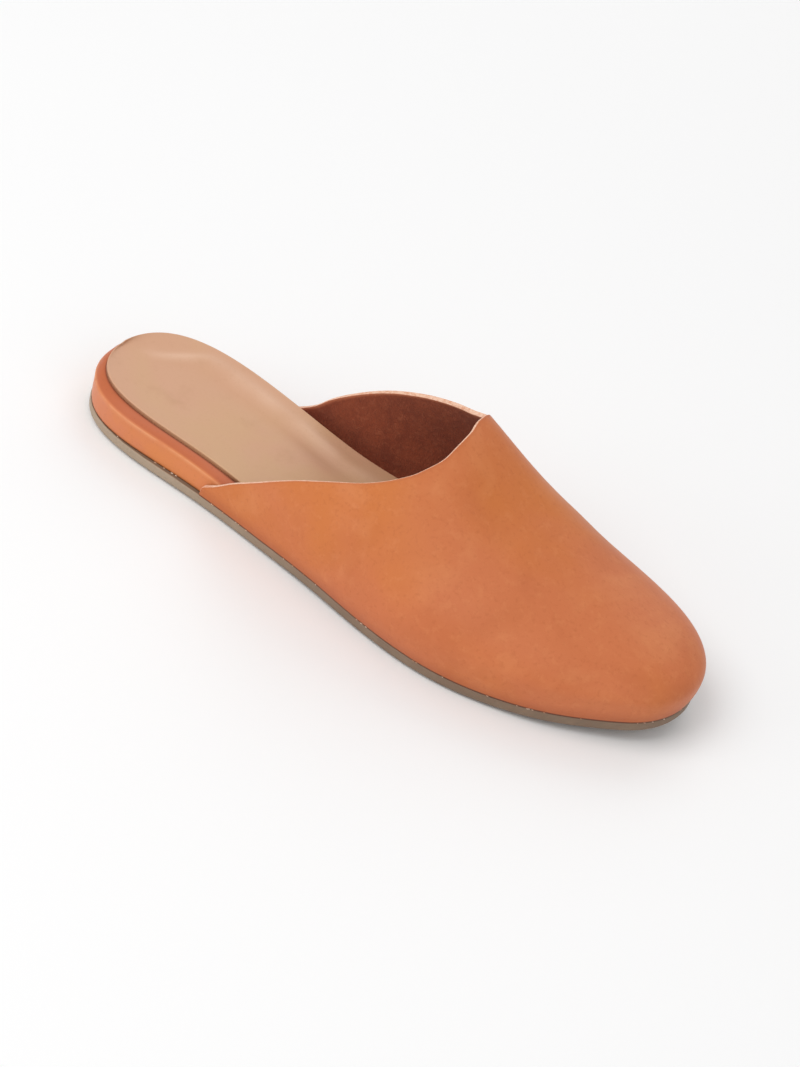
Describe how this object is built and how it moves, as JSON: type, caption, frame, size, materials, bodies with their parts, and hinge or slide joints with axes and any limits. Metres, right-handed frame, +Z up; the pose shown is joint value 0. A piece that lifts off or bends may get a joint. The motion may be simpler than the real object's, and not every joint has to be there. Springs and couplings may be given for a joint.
{
  "type": "mule shoe",
  "caption": "Right slip-on leather mule: closed rounded toe, high throat with wings tapering to the waist, open back, smooth footbed and thin flat rubber sole.",
  "frame": {"origin": "centre of the shoe's bounding box, on the floor that the shoe stands on", "axes": "+X from the heel to the toe, +Y towards the medial side, +Z up"},
  "size_m": [0.2514, 0.0876, 0.0682],
  "materials": {
    "outsole_rubber": "matt taupe-brown moulded rubber",
    "midsole_leather": "smooth orange-tan leather wrapped over the footbed",
    "insole_leather": "smooth pale beige lining leather",
    "upper_leather": "smooth tan leather with a soft sheen, suede on its inner face"
  },
  "bodies": {
    "root": {"outsole": "outsole_rubber", "midsole": "midsole_leather", "insole": "insole_leather", "upper": "upper_leather"}
  },
  "joints": []
}
